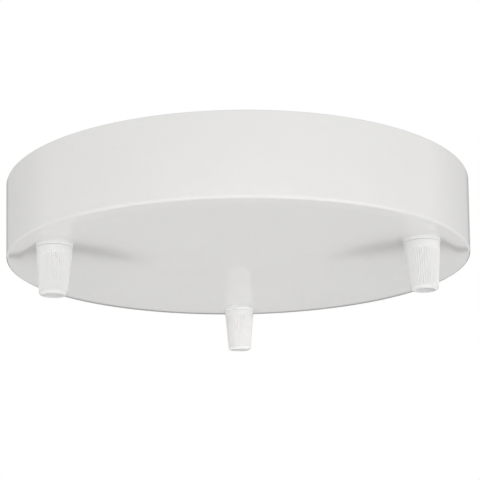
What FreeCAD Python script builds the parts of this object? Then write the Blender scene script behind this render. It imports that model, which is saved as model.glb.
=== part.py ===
import FreeCAD, Part
import os
import re
import Sketcher

# Three-outlet ceiling rose: a moulded canopy on a steel strap, with three screwed
# cord grips and a three-pole terminal block inside it.
# Origin: the middle of the ceiling plane. +Z points up into the ceiling.

# Driving sizes in millimetres, apart from the count of ribs and the groove's share of their pitch
SIZES = {
    # Canopy: a drafted round pan, open at the ceiling
    "canopy_face_radius": 75,
    "canopy_flare": 1,
    "canopy_height": 25,
    "canopy_wall": 2,
    "canopy_face_thickness": 2,
    "canopy_edge_radius": 0.8,
    "canopy_root_chamfer": 1,
    "outlet_wall_gap": 1.5,
    "outlet_hole_play": 0.2,
    "outlet_boss_margin": 0.3,
    "outlet_boss_height": 1,
    # Countersunk screws through the canopy's side wall
    "side_screw_drop": 8,
    "side_screw_radius": 2,
    "side_screw_length": 9,
    "side_screw_head_radius": 4,
    "side_screw_head_rim": 0.25,
    "side_screw_head_sink": 0.2,
    "side_screw_slot_width": 1,
    "side_screw_slot_depth": 0.9,
    "side_screw_play": 0.2,
    "side_pad_radius": 6,
    "side_pad_depth": 1.6,
    # Steel strap with two ears turned down
    "strap_thickness": 1.5,
    "strap_width": 20,
    "strap_ear_drop": 14,
    "strap_bend_radius": 1.5,
    "strap_ear_rounding": 4,
    "strap_ear_gap": 0.3,
    "supply_hole_radius": 6,
    "ceiling_slot_spacing": 60,
    "ceiling_slot_length": 14,
    "ceiling_slot_radius": 2.3,
    "tapped_hole_play": 0.05,
    # Cord grip: threaded stem with a collar
    "stem_thread_radius": 4,
    "stem_rise": 8,
    "stem_drop": 7,
    "stem_end_chamfer": 0.4,
    "collar_radius": 5.6,
    "collar_height": 1.1,
    "collar_chamfer": 0.25,
    "cable_way_radius": 2.9,
    # Cord grip: tapered cap with fine ribs
    "cap_gap": 0.06,
    "cap_length": 14.6,
    "cap_top_radius": 5.45,
    "cap_tip_radius": 4.15,
    "cap_tip_rounding": 1,
    "cap_top_chamfer": 0.2,
    "cap_thread_play": 0.05,
    "cap_thread_depth": 7.5,
    "cap_seat_length": 4.6,
    "cap_outlet_radius": 3,
    "rib_count": 44,
    "rib_depth": 0.22,
    "groove_share": 0.8,
    "rib_top_margin": 2.2,
    "rib_tip_margin": 1.2,
    # Cord grip: split clamping ring inside the cap, and the nut inside the canopy
    "ring_length": 3.2,
    "ring_end_gap": 0.2,
    "ring_seat_gap": 0.08,
    "ring_split_width": 0.6,
    "nut_across_flats": 13,
    "nut_height": 4,
    "nut_corner_chamfer": 0.5,
    "nut_play": 0.05,
    # Three-pole terminal block under the strap
    "block_ear_gap": 4,
    "pole_pitch": 9,
    "pole_width": 7.4,
    "pole_height": 8.6,
    "pole_rounding": 1.5,
    "block_depth": 18,
    "web_depth": 7,
    "chimney_radius": 3.1,
    "chimney_height": 13.4,
    "terminal_spacing": 8.4,
    "barrel_radius": 2.3,
    "barrel_bore_radius": 1.5,
    "barrel_length": 15,
    "barrel_drop": 4.6,
    "barrel_play": 0.05,
    "terminal_screw_radius": 1.4,
    "terminal_screw_head_radius": 1.75,
    "terminal_screw_head_height": 1.4,
    "terminal_screw_length": 6.5,
    "terminal_screw_slot_width": 0.6,
    "terminal_screw_slot_depth": 0.7,
    "block_screw_radius": 1.5,
    "block_screw_head_radius": 2.6,
    "block_screw_head_height": 1.6,
    "block_screw_play": 0.15,
    "block_screw_end_gap": 0.2,
}

# The outlets, evenly spaced from +Y and counted towards -X
OUTLETS = ("back", "left", "right")

# Places that several pieces share, as formulas of the sizes
RIM_RADIUS = "(canopy_face_radius + canopy_flare)"
FACE_Z = "(-canopy_height)"
FLOOR_Z = f"({FACE_Z} + canopy_face_thickness)"
BOSS_Z = f"({FLOOR_Z} + outlet_boss_height)"
WALL_AT_SCREW = "(canopy_face_radius + canopy_flare * (1 - side_screw_drop / canopy_height))"
PAD_X = f"({WALL_AT_SCREW} - canopy_wall - side_pad_depth)"
HEAD_X = f"({WALL_AT_SCREW} - side_screw_head_sink)"
CONE_X = f"({HEAD_X} - side_screw_head_rim)"
NECK_X = f"({CONE_X} - side_screw_head_radius + side_screw_radius)"
EAR_X = f"({PAD_X} - strap_ear_gap)"
COLLAR_Z = f"({FACE_Z} - collar_height)"
STEM_END_Z = f"({COLLAR_Z} - stem_drop)"
CAP_TOP_Z = f"({COLLAR_Z} - cap_gap)"
CAP_TIP_Z = f"({CAP_TOP_Z} - cap_length)"
CAP_BORE_RADIUS = "(stem_thread_radius + cap_thread_play)"
SEAT_TOP_Z = f"({CAP_TOP_Z} - cap_thread_depth)"
SEAT_END_Z = f"({SEAT_TOP_Z} - cap_seat_length)"
SEAT_SLOPE = f"(({CAP_BORE_RADIUS} - cap_outlet_radius) / cap_seat_length)"
CAP_SLOPE = "((cap_top_radius - cap_tip_radius) / cap_length)"
NUT_CORNER_RADIUS = "(nut_across_flats / 2 / cos(30))"
OUTLET_CIRCLE_RADIUS = f"(canopy_face_radius - canopy_wall - outlet_wall_gap - {NUT_CORNER_RADIUS})"
EAR_INNER_X = f"({EAR_X} - strap_thickness)"
BLOCK_X = f"({EAR_INNER_X} - block_ear_gap - pole_pitch - pole_width / 2)"
SIDES = (-1, 1)
POLES = (-1, 0, 1)

doc = FreeCAD.newDocument("CeilingRose")
sheet = doc.addObject("Spreadsheet::Sheet", "Sizes")
for row, (alias, size) in enumerate(SIZES.items(), start=1):
    sheet.set(f"A{row}", alias.replace("_", " "))
    sheet.set(f"B{row}", str(size))
    sheet.setAlias(f"B{row}", alias)
doc.recompute()

parts = []


def cells(formula):
    """Name the sheet in front of every size in a formula."""
    return re.sub(r"[a-z][a-z_]*", lambda word: "Sizes." + word[0] if word[0] in SIZES else word[0], formula)


def value(formula):
    """The number that a formula of the sizes gives."""
    return float(sheet.evalExpression(cells(formula)))


def bind(feature, settings):
    """Tie a feature's properties to formulas of the sizes."""
    for name, formula in settings.items():
        feature.setExpression(name, cells(formula))


def origin_feature(body, role):
    """A base plane or axis of the body's own origin."""
    return next(item for item in body.Origin.OriginFeatures if item.Role == role)


def new_body(label):
    """A new sub-part."""
    body = doc.addObject("PartDesign::Body", label)
    body.Label = label
    parts.append(body)
    return body


def place(body, x="0", y="0", z="0", turn="0"):
    """Put a body at a point, turned about Z by an angle in degrees."""
    body.Placement = FreeCAD.Placement(FreeCAD.Vector(), FreeCAD.Rotation(FreeCAD.Vector(0, 0, 1), 0))
    bind(body, {
        "Placement.Base.x": x,
        "Placement.Base.y": y,
        "Placement.Base.z": z,
        "Placement.Rotation.Angle": turn,
    })


def new_sketch(body, name, role, right="0", up="0", out="0"):
    """A sketch on a base plane, moved right and up in the plane and out of it."""
    sketch = body.newObject("Sketcher::SketchObject", name)
    sketch.AttachmentSupport = [(origin_feature(body, role), "")]
    sketch.MapMode = "FlatFace"
    bind(sketch, {
        "AttachmentOffset.Base.x": right,
        "AttachmentOffset.Base.y": up,
        "AttachmentOffset.Base.z": out,
    })
    return sketch


def pin_point(sketch, line, point, x, y):
    """Hold one point of a line or arc at a place given by two formulas."""
    for kind, formula, axis in (("DistanceX", x, -2), ("DistanceY", y, -1)):
        if formula == "0":
            sketch.addConstraint(Sketcher.Constraint("PointOnObject", line, point, axis))
        else:
            number = sketch.addConstraint(Sketcher.Constraint(kind, -1, 1, line, point, value(formula)))
            sketch.setExpression(f"Constraints[{number}]", cells(formula))


def draw_outline(sketch, points):
    """Draw a closed outline of straight lines through points given by formulas."""
    corners = [FreeCAD.Vector(value(x), value(y), 0) for x, y in points]
    first = sketch.GeometryCount
    count = len(points)
    for index, corner in enumerate(corners):
        sketch.addGeometry(Part.LineSegment(corner, corners[(index + 1) % count]), False)
    for index in range(count):
        after = first + (index + 1) % count
        sketch.addConstraint(Sketcher.Constraint("Coincident", first + index, 2, after, 1))
    for index, (x, y) in enumerate(points):
        pin_point(sketch, first + index, 1, x, y)


def draw_circle(sketch, radius, x="0", y="0"):
    """Draw a circle."""
    centre = FreeCAD.Vector(value(x), value(y), 0)
    line = sketch.addGeometry(Part.Circle(centre, FreeCAD.Vector(0, 0, 1), value(radius)), False)
    number = sketch.addConstraint(Sketcher.Constraint("Radius", line, value(radius)))
    sketch.setExpression(f"Constraints[{number}]", cells(radius))
    pin_point(sketch, line, 3, x, y)


def draw_box(sketch, width, depth, x="0", y="0"):
    """Draw a rectangle about a centre."""
    left, right = f"{x} - {width} / 2", f"{x} + {width} / 2"
    low, high = f"{y} - {depth} / 2", f"{y} + {depth} / 2"
    draw_outline(sketch, [(left, low), (right, low), (right, high), (left, high)])


def revolve(body, sketch, name, axis="V_Axis", cut=False):
    """Turn a profile about an axis of its sketch, to add or to cut."""
    turned = body.newObject("PartDesign::Groove" if cut else "PartDesign::Revolution", name)
    turned.Profile = sketch
    turned.ReferenceAxis = (sketch, [axis])
    turned.Angle = 360
    doc.recompute()
    return turned


def pad(body, sketch, name, length, both_ways=False, reverse=False):
    """Raise a solid from a sketch."""
    raised = body.newObject("PartDesign::Pad", name)
    raised.Profile = sketch
    raised.SideType = "Symmetric" if both_ways else "One side"
    raised.Reversed = reverse
    bind(raised, {"Length": length})
    doc.recompute()
    return raised


def pocket(body, sketch, name, length, both_ways=False, reverse=False):
    """Cut a sketch into a body, and make sure that it removed something."""
    before = body.Shape.Volume
    cut = body.newObject("PartDesign::Pocket", name)
    cut.Profile = sketch
    cut.SideType = "Symmetric" if both_ways else "One side"
    cut.Reversed = reverse
    bind(cut, {"Length": length})
    doc.recompute()
    if body.Shape.Volume > before - 1e-6:
        raise RuntimeError(f"{body.Label}: {name} cuts nothing")
    return cut


def repeat_round(body, features, name, count):
    """Repeat features evenly about the body's Z axis."""
    pattern = body.newObject("PartDesign::PolarPattern", name)
    pattern.Originals = features
    pattern.Axis = (origin_feature(body, "Z_Axis"), [""])
    pattern.Angle = 360
    bind(pattern, {"Occurrences": count})
    body.Tip = pattern
    doc.recompute()
    return pattern


def edges_where(body, test):
    """The names of the body's edges whose middle point passes a test."""
    names = []
    for index, edge in enumerate(body.Shape.Edges, start=1):
        middle = edge.valueAt((edge.FirstParameter + edge.LastParameter) / 2)
        if test(edge, middle):
            names.append(f"Edge{index}")
    if not names:
        raise RuntimeError(f"{body.Label}: no such edge")
    return names


def near(one, other):
    """Whether two lengths are the same, for picking edges."""
    return abs(one - other) < 1e-4


def ring_edges(body, radius, z):
    """The circular edges about Z with a radius and a height."""
    wanted_radius, wanted_z = value(radius), value(z)

    def test(edge, middle):
        if not isinstance(edge.Curve, Part.Circle):
            return False
        return near(edge.Curve.Radius, wanted_radius) and near(middle.z, wanted_z)

    return edges_where(body, test)


def dress_edges(body, kind, name, edges, size):
    """Round or chamfer edges."""
    dressed = body.newObject(f"PartDesign::{kind}", name)
    dressed.Base = (body.Tip if body.Tip != dressed else dressed.BaseFeature, edges)
    bind(dressed, {"Radius" if kind == "Fillet" else "Size": size})
    body.Tip = dressed
    doc.recompute()
    return dressed


def make_canopy():
    """The moulded pan with its three outlets and the two side screw seats."""
    body = new_body("canopy")
    profile = new_sketch(body, "PanProfile", "XZ_Plane")
    draw_outline(profile, [
        ("0", FACE_Z),
        ("canopy_face_radius", FACE_Z),
        (RIM_RADIUS, "0"),
        (f"{RIM_RADIUS} - canopy_wall", "0"),
        ("canopy_face_radius - canopy_wall", FLOOR_Z),
        ("0", FLOOR_Z),
    ])
    revolve(body, profile, "Pan")
    outer_edge = ring_edges(body, "canopy_face_radius", FACE_Z)
    dress_edges(body, "Fillet", "OuterEdge", outer_edge, "canopy_edge_radius")
    inner_edge = ring_edges(body, "canopy_face_radius - canopy_wall", FLOOR_Z)
    dress_edges(body, "Chamfer", "InnerRoot", inner_edge, "canopy_root_chamfer")

    boss_sketch = new_sketch(body, "OutletBossSketch", "XY_Plane", out=FLOOR_Z)
    draw_circle(boss_sketch, f"{NUT_CORNER_RADIUS} + outlet_boss_margin", y=OUTLET_CIRCLE_RADIUS)
    boss = pad(body, boss_sketch, "OutletBoss", "outlet_boss_height")
    hole_sketch = new_sketch(body, "OutletHoleSketch", "XY_Plane", out=FACE_Z)
    draw_circle(hole_sketch, "stem_thread_radius + outlet_hole_play", y=OUTLET_CIRCLE_RADIUS)
    hole = pocket(body, hole_sketch, "OutletHole", "canopy_height", both_ways=True)
    repeat_round(body, [boss, hole], "Outlets", str(len(OUTLETS)))

    pad_sketch = new_sketch(body, "SidePadSketch", "YZ_Plane", out=PAD_X)
    draw_circle(pad_sketch, "side_pad_radius", y="-side_screw_drop")
    side_pad = pad(body, pad_sketch, "SidePad", "side_pad_depth + canopy_wall / 2")
    seat_sketch = new_sketch(body, "ScrewSeatSketch", "XZ_Plane", up="-side_screw_drop")
    hole_radius = "side_screw_radius + side_screw_play"
    mouth_radius = "side_screw_head_radius + side_screw_play"
    draw_outline(seat_sketch, [
        (f"{PAD_X} - canopy_wall", "0"),
        (f"{HEAD_X} + canopy_wall", "0"),
        (f"{HEAD_X} + canopy_wall", mouth_radius),
        (CONE_X, mouth_radius),
        (NECK_X, hole_radius),
        (f"{PAD_X} - canopy_wall", hole_radius),
    ])
    seat = revolve(body, seat_sketch, "ScrewSeat", axis="H_Axis", cut=True)
    repeat_round(body, [side_pad, seat], "SideSeats", "2")


def make_strap():
    """The steel strap that is screwed to the ceiling and holds the canopy by its ears."""
    body = new_body("mounting_strap")
    profile = new_sketch(body, "StrapProfile", "XZ_Plane")
    draw_outline(profile, [
        (f"-{EAR_X}", "-strap_ear_drop"),
        (f"-{EAR_X}", "0"),
        (EAR_X, "0"),
        (EAR_X, "-strap_ear_drop"),
        (EAR_INNER_X, "-strap_ear_drop"),
        (EAR_INNER_X, "-strap_thickness"),
        (f"-{EAR_INNER_X}", "-strap_thickness"),
        (f"-{EAR_INNER_X}", "-strap_ear_drop"),
    ])
    pad(body, profile, "Strip", "strap_width", both_ways=True)

    def bend(x, z):
        """The long edges across the strip at both bends."""
        wanted_x, wanted_z = value(x), value(z)
        return edges_where(body, lambda edge, middle: near(abs(middle.x), wanted_x)
                           and near(middle.z, wanted_z) and near(middle.y, 0))

    dress_edges(body, "Fillet", "OuterBends", bend(EAR_X, "0"), "strap_bend_radius + strap_thickness")
    dress_edges(body, "Fillet", "InnerBends", bend(EAR_INNER_X, "-strap_thickness"), "strap_bend_radius")
    low, side = value("-strap_ear_drop"), value("strap_width / 2")
    corners = edges_where(body, lambda edge, middle: near(middle.z, low) and near(abs(middle.y), side))
    dress_edges(body, "Fillet", "EarCorners", corners, "strap_ear_rounding")

    holes = new_sketch(body, "StrapHoles", "XY_Plane")
    draw_circle(holes, "supply_hole_radius")
    for side in SIDES:
        draw_circle(holes, "block_screw_radius + tapped_hole_play", x=f"{BLOCK_X} + {side} * pole_pitch / 2")
        for end in SIDES:
            reach = f"{side} * ceiling_slot_spacing / 2 + {end} * (ceiling_slot_length / 2 - ceiling_slot_radius)"
            draw_circle(holes, "ceiling_slot_radius", x=reach)
    pocket(body, holes, "RoundHoles", "2 * strap_thickness", both_ways=True)
    slots = new_sketch(body, "StrapSlots", "XY_Plane")
    for side in SIDES:
        draw_box(slots, "(ceiling_slot_length - 2 * ceiling_slot_radius)", "(2 * ceiling_slot_radius)",
                 x=f"({side} * ceiling_slot_spacing / 2)")
    pocket(body, slots, "SlotWaists", "2 * strap_thickness", both_ways=True)
    taps = new_sketch(body, "EarTaps", "YZ_Plane")
    draw_circle(taps, "side_screw_radius + tapped_hole_play", y="-side_screw_drop")
    pocket(body, taps, "EarTapHoles", f"3 * {EAR_X}", both_ways=True)


def make_side_screw(label, turn):
    """A slotted countersunk screw through the canopy's wall into an ear."""
    body = new_body(label)
    end_x = f"({HEAD_X} - side_screw_length)"
    profile = new_sketch(body, "ScrewProfile", "XZ_Plane", up="-side_screw_drop")
    draw_outline(profile, [
        (end_x, "0"),
        (HEAD_X, "0"),
        (HEAD_X, "side_screw_head_radius"),
        (CONE_X, "side_screw_head_radius"),
        (NECK_X, "side_screw_radius"),
        (end_x, "side_screw_radius"),
    ])
    revolve(body, profile, "Screw", axis="H_Axis")
    slot = new_sketch(body, "SlotSketch", "YZ_Plane", out=HEAD_X)
    draw_box(slot, "side_screw_slot_width", "(3 * side_screw_head_radius)", y="(-side_screw_drop)")
    pocket(body, slot, "Slot", "side_screw_slot_depth")
    place(body, turn=turn)


def place_at_outlet(body, azimuth):
    """Put a grip piece, which is modelled about Z, on the axis of its outlet."""
    x = f"{OUTLET_CIRCLE_RADIUS} * cos({azimuth})"
    y = f"{OUTLET_CIRCLE_RADIUS} * sin({azimuth})"
    place(body, x=x, y=y, turn=str(azimuth))


def make_stem(outlet, azimuth):
    """The threaded tube of a grip, with the collar that seats under the canopy."""
    body = new_body(f"grip_stem_{outlet}")
    profile = new_sketch(body, "StemProfile", "XZ_Plane")
    draw_outline(profile, [
        ("cable_way_radius", f"{FACE_Z} + stem_rise"),
        ("stem_thread_radius", f"{FACE_Z} + stem_rise"),
        ("stem_thread_radius", FACE_Z),
        ("collar_radius", FACE_Z),
        ("collar_radius", COLLAR_Z),
        ("stem_thread_radius", COLLAR_Z),
        ("stem_thread_radius", STEM_END_Z),
        ("cable_way_radius", STEM_END_Z),
    ])
    revolve(body, profile, "Stem")
    ends = ring_edges(body, "stem_thread_radius", f"{FACE_Z} + stem_rise")
    ends += ring_edges(body, "stem_thread_radius", STEM_END_Z)
    dress_edges(body, "Chamfer", "ThreadLeads", ends, "stem_end_chamfer")
    dress_edges(body, "Chamfer", "CollarEdge", ring_edges(body, "collar_radius", COLLAR_Z), "collar_chamfer")
    place_at_outlet(body, azimuth)


def make_cap(outlet, azimuth):
    """The tapered cap of a grip, with its cone seat and fine ribs."""
    body = new_body(f"grip_cap_{outlet}")
    profile = new_sketch(body, "CapProfile", "XZ_Plane")
    draw_outline(profile, [
        (CAP_BORE_RADIUS, CAP_TOP_Z),
        ("cap_top_radius", CAP_TOP_Z),
        ("cap_tip_radius", CAP_TIP_Z),
        ("cap_outlet_radius", CAP_TIP_Z),
        ("cap_outlet_radius", SEAT_END_Z),
        (CAP_BORE_RADIUS, SEAT_TOP_Z),
    ])
    revolve(body, profile, "Cap")
    dress_edges(body, "Fillet", "Tip", ring_edges(body, "cap_tip_radius", CAP_TIP_Z), "cap_tip_rounding")
    dress_edges(body, "Chamfer", "Top", ring_edges(body, "cap_top_radius", CAP_TOP_Z), "cap_top_chamfer")

    ends = []
    for name, drop in (("Top", "rib_top_margin"), ("Tip", "(cap_length - rib_tip_margin)")):
        radius = f"(cap_top_radius - {CAP_SLOPE} * {drop})"
        half_width = f"(groove_share * pi * {radius} / rib_count)"
        end = new_sketch(body, f"Groove{name}", "XY_Plane", out=f"{CAP_TOP_Z} - {drop}")
        # A V that is drawn as far outside the cap as it goes in, so it is twice as wide there
        draw_outline(end, [
            (f"{radius} - rib_depth", "0"),
            (f"{radius} + rib_depth", f"-2 * {half_width}"),
            (f"{radius} + rib_depth", f"2 * {half_width}"),
        ])
        ends.append(end)
    groove = body.newObject("PartDesign::SubtractiveLoft", "Groove")
    groove.Profile = ends[0]
    groove.Sections = [ends[1]]
    groove.Ruled = True
    doc.recompute()
    repeat_round(body, [groove], "Grooves", "rib_count")
    place_at_outlet(body, azimuth)


def make_ring(outlet, azimuth):
    """The split ring that the cap's cone closes on the cable."""
    body = new_body(f"clamp_ring_{outlet}")
    top_z = f"({STEM_END_Z} - ring_end_gap)"
    end_z = f"({top_z} - ring_length)"
    top_radius = f"({CAP_BORE_RADIUS} - ring_seat_gap)"
    end_radius = f"({CAP_BORE_RADIUS} - {SEAT_SLOPE} * ({SEAT_TOP_Z} - {end_z}) - ring_seat_gap)"
    profile = new_sketch(body, "RingProfile", "XZ_Plane")
    draw_outline(profile, [
        ("cable_way_radius", top_z),
        (top_radius, top_z),
        (top_radius, SEAT_TOP_Z),
        (end_radius, end_z),
        ("cable_way_radius", end_z),
    ])
    revolve(body, profile, "Ring")
    split = new_sketch(body, "SplitSketch", "XY_Plane", out=f"{end_z} - ring_end_gap")
    draw_box(split, CAP_BORE_RADIUS, "ring_split_width", x=CAP_BORE_RADIUS)
    pocket(body, split, "Split", "2 * ring_length", reverse=True)
    place_at_outlet(body, azimuth)


def make_nut(outlet, azimuth):
    """The thin hexagon nut that draws a stem's collar against the canopy."""
    body = new_body(f"lock_nut_{outlet}")
    hexagon = new_sketch(body, "Hexagon", "XY_Plane", out=BOSS_Z)
    draw_outline(hexagon, [
        ("nut_across_flats / 2", f"{NUT_CORNER_RADIUS} / 2"),
        ("0", NUT_CORNER_RADIUS),
        ("-nut_across_flats / 2", f"{NUT_CORNER_RADIUS} / 2"),
        ("-nut_across_flats / 2", f"-{NUT_CORNER_RADIUS} / 2"),
        ("0", f"-{NUT_CORNER_RADIUS}"),
        ("nut_across_flats / 2", f"-{NUT_CORNER_RADIUS} / 2"),
    ])
    pad(body, hexagon, "Blank", "nut_height")
    bore = new_sketch(body, "BoreSketch", "XY_Plane", out=BOSS_Z)
    draw_circle(bore, "stem_thread_radius + nut_play")
    pocket(body, bore, "Bore", "3 * nut_height", both_ways=True)
    corner_cut = new_sketch(body, "CornerCutSketch", "XZ_Plane", up=f"{BOSS_Z} + nut_height")
    draw_outline(corner_cut, [
        (f"{NUT_CORNER_RADIUS} - 2 * nut_corner_chamfer", "nut_corner_chamfer"),
        (f"{NUT_CORNER_RADIUS} + nut_corner_chamfer", "nut_corner_chamfer"),
        (f"{NUT_CORNER_RADIUS} + nut_corner_chamfer", "-nut_corner_chamfer"),
    ])
    revolve(body, corner_cut, "CornerCut", cut=True)
    place_at_outlet(body, azimuth)


def make_block():
    """The moulded housing of the terminal block, chimneys down."""
    body = new_body("terminal_block")
    profile = new_sketch(body, "PoleProfile", "XZ_Plane")
    for pole in POLES:
        draw_box(profile, "pole_width", "pole_height", x=f"({pole} * pole_pitch)", y="(-pole_height / 2)")
    pad(body, profile, "Poles", "block_depth", both_ways=True)
    low = value("-pole_height")
    long_edges = edges_where(body, lambda edge, middle: near(middle.z, low) and near(middle.y, 0))
    dress_edges(body, "Fillet", "PoleBacks", long_edges, "pole_rounding")
    web = new_sketch(body, "WebSketch", "XY_Plane")
    draw_box(web, "(2 * pole_pitch)", "web_depth")
    pad(body, web, "Web", "pole_height", reverse=True)
    chimneys = new_sketch(body, "ChimneySketch", "XY_Plane", out="-barrel_drop")
    bores = new_sketch(body, "ChimneyBoreSketch", "XY_Plane", out="-barrel_drop")
    for pole in POLES:
        for side in SIDES:
            x, y = f"{pole} * pole_pitch", f"{side} * terminal_spacing / 2"
            centre = {"x": x if pole else "0", "y": y}
            draw_circle(chimneys, "chimney_radius", **centre)
            draw_circle(bores, "terminal_screw_head_radius + block_screw_play", **centre)
    pad(body, chimneys, "Chimneys", "chimney_height - barrel_drop", reverse=True)
    pocket(body, bores, "ChimneyBores", "chimney_height")
    barrels = new_sketch(body, "BarrelBoreSketch", "XZ_Plane")
    fixings = new_sketch(body, "FixingSketch", "XY_Plane")
    for pole in POLES:
        x = f"{pole} * pole_pitch" if pole else "0"
        draw_circle(barrels, "barrel_radius + barrel_play", x=x, y="-barrel_drop")
    pocket(body, barrels, "BarrelBores", "2 * block_depth", both_ways=True)
    for side in SIDES:
        draw_circle(fixings, "block_screw_radius + block_screw_play", x=f"{side} * pole_pitch / 2")
    pocket(body, fixings, "FixingHoles", "3 * pole_height", both_ways=True)
    place(body, x=BLOCK_X, z="-strap_thickness")


def make_barrel(number, pole):
    """A brass tube with two tapped holes for the terminal screws."""
    body = new_body(f"terminal_barrel_{number}")
    ring = new_sketch(body, "TubeSketch", "XZ_Plane")
    draw_circle(ring, "barrel_radius", y="-barrel_drop")
    draw_circle(ring, "barrel_bore_radius", y="-barrel_drop")
    pad(body, ring, "Tube", "barrel_length", both_ways=True)
    taps = new_sketch(body, "TapSketch", "XY_Plane", out="-barrel_drop")
    for side in SIDES:
        draw_circle(taps, "terminal_screw_radius + tapped_hole_play", y=f"{side} * terminal_spacing / 2")
    pocket(body, taps, "Taps", "2 * barrel_radius")
    place(body, x=f"{BLOCK_X} + {pole} * pole_pitch", z="-strap_thickness")


def make_screw_set(label, places, sizes):
    """Equal slotted screws with round heads down, as separate solids of one node."""
    screws = []
    for number, (x, y) in enumerate(places, start=1):
        shank = doc.addObject("Part::Cylinder", f"{label}_shank_{number}")
        bind(shank, {"Radius": sizes["radius"], "Height": f"{sizes['tip']} - {sizes['seat']}"})
        head = doc.addObject("Part::Cylinder", f"{label}_head_{number}")
        bind(head, {"Radius": sizes["head_radius"], "Height": sizes["head_height"]})
        slot = doc.addObject("Part::Box", f"{label}_slot_{number}")
        slot_length = f"3 * {sizes['head_radius']}"
        bind(slot, {"Length": sizes["slot_width"], "Width": slot_length, "Height": f"2 * {sizes['slot_depth']}"})
        solid = doc.addObject("Part::Fuse", f"{label}_blank_{number}")
        solid.Base, solid.Tool = shank, head
        screw = doc.addObject("Part::Cut", f"{label}_screw_{number}")
        screw.Base, screw.Tool = solid, slot
        face_z = f"({sizes['seat']} - {sizes['head_height']})"
        bind(shank, {"Placement.Base.x": x, "Placement.Base.y": y, "Placement.Base.z": sizes["seat"]})
        bind(head, {"Placement.Base.x": x, "Placement.Base.y": y, "Placement.Base.z": face_z})
        bind(slot, {
            "Placement.Base.x": f"{x} - {sizes['slot_width']} / 2",
            "Placement.Base.y": f"{y} - {slot_length} / 2",
            "Placement.Base.z": f"{face_z} - {sizes['slot_depth']}",
        })
        screws.append(screw)
    group = doc.addObject("Part::Compound", label)
    group.Label = label
    group.Links = screws
    doc.recompute()
    parts.append(group)


def make_fasteners_of_block():
    """The six terminal screws, and the two that hold the block to the strap."""
    terminal_tip = "(-strap_thickness - barrel_drop - barrel_bore_radius + terminal_screw_slot_width / 2)"
    length = "(terminal_screw_length - terminal_screw_head_height)"
    make_screw_set("terminal_screws", [
        (f"({BLOCK_X} + {pole} * pole_pitch)", f"({side} * terminal_spacing / 2)")
        for pole in POLES for side in SIDES
    ], {
        "radius": "terminal_screw_radius",
        "tip": terminal_tip,
        "seat": f"({terminal_tip} - {length})",
        "head_radius": "terminal_screw_head_radius",
        "head_height": "terminal_screw_head_height",
        "slot_width": "terminal_screw_slot_width",
        "slot_depth": "terminal_screw_slot_depth",
    })
    make_screw_set("block_screws", [
        (f"({BLOCK_X} + {side} * pole_pitch / 2)", "0") for side in SIDES
    ], {
        "radius": "block_screw_radius",
        "tip": "(-block_screw_end_gap)",
        "seat": "(-strap_thickness - pole_height)",
        "head_radius": "block_screw_head_radius",
        "head_height": "block_screw_head_height",
        "slot_width": "terminal_screw_slot_width",
        "slot_depth": "terminal_screw_slot_depth",
    })


make_canopy()
make_strap()
make_side_screw("side_screw_right", "0")
make_side_screw("side_screw_left", "180")
for number, outlet in enumerate(OUTLETS):
    azimuth = 90 + number * 360 // len(OUTLETS)
    make_stem(outlet, azimuth)
    make_nut(outlet, azimuth)
    make_ring(outlet, azimuth)
    make_cap(outlet, azimuth)
make_block()
for number, pole in enumerate(POLES, start=1):
    make_barrel(number, pole)
make_fasteners_of_block()

doc.recompute()
for item in doc.Objects:
    if "Invalid" in item.State or "Error" in item.State:
        raise RuntimeError(f"{item.Label} failed: {item.State}")
for part in parts:
    if part.Shape.isNull() or not part.Shape.isValid():
        raise RuntimeError(f"{part.Label} has no valid shape")

os.makedirs("parts", exist_ok=True)
for part in parts:
    part.Shape.exportStep(f"parts/{part.Label}.step")
    print(f"{part.Label}: {len(part.Shape.Solids)} solids, {part.Shape.Volume:.1f} cubic millimetres")
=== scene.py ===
"""Looks of a three-outlet ceiling rose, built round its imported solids.

Pieces are shaped in millimetres and finished in metres, in the frame of the solids: the origin
is the middle of the ceiling plane, and +Z points up into the ceiling.
"""

import logging
import math
from dataclasses import dataclass
from enum import Enum
from typing import Any, Callable, Mapping, Optional, Sequence, Union

import bmesh
import bpy
from mathutils import Matrix, Vector


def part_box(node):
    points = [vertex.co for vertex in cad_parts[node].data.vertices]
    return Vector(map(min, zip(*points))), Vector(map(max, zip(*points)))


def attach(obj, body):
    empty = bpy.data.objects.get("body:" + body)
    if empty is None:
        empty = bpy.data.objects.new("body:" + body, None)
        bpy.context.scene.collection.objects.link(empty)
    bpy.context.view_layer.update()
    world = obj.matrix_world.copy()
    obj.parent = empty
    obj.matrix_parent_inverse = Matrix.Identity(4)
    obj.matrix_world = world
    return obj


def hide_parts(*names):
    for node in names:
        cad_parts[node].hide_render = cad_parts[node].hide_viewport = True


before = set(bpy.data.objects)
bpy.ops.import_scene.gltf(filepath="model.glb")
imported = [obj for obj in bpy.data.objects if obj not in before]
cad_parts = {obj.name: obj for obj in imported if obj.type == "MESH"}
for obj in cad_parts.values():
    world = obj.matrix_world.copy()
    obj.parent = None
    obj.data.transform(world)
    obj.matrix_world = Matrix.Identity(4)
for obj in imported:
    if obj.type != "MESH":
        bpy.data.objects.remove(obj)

LOG = logging.getLogger("ceiling_rose")
MM = 0.001
FULL_TURN = 2 * math.pi
SIDES = (-1, 1)
WHITE = (1.0, 1.0, 1.0, 1.0)
Span = tuple[float, float]
Triple = tuple[float, float, float]
Colour = Triple

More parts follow.
